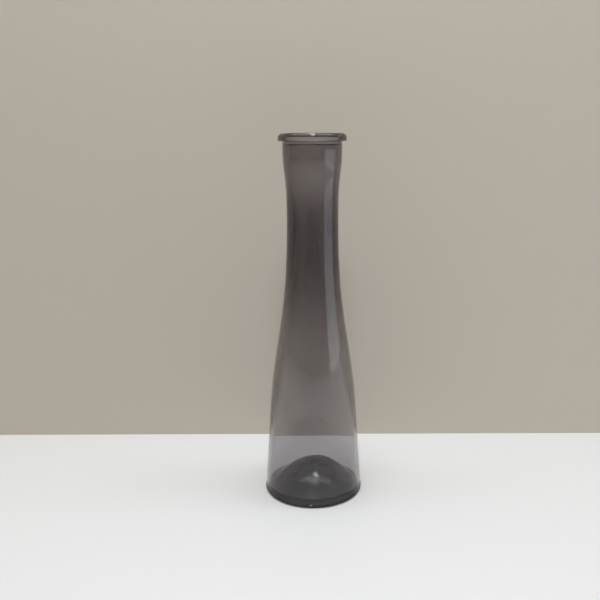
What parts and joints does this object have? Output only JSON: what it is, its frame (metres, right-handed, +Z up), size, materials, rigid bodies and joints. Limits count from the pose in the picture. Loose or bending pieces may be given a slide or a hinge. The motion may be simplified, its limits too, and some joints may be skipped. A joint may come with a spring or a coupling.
{
  "type": "bottle vase",
  "caption": "Tall bottle vase of smoke-grey glass with a flat collar lip, a narrow waisted neck, a body flaring into a cone and a pushed-up base; holds cut stems.",
  "frame": {"origin": "centre of the foot ring, on the table", "axes": "+Z up along the vase's axis of revolution; X and Y are any two horizontal directions"},
  "size_m": [0.0662, 0.0662, 0.24],
  "materials": {
    "smoke_glass": "polished, smoke-grey"
  },
  "bodies": {
    "root": {"lip_ring": "smoke_glass", "neck": "smoke_glass", "body": "smoke_glass", "heel_ring": "smoke_glass", "punt": "smoke_glass"}
  },
  "joints": []
}
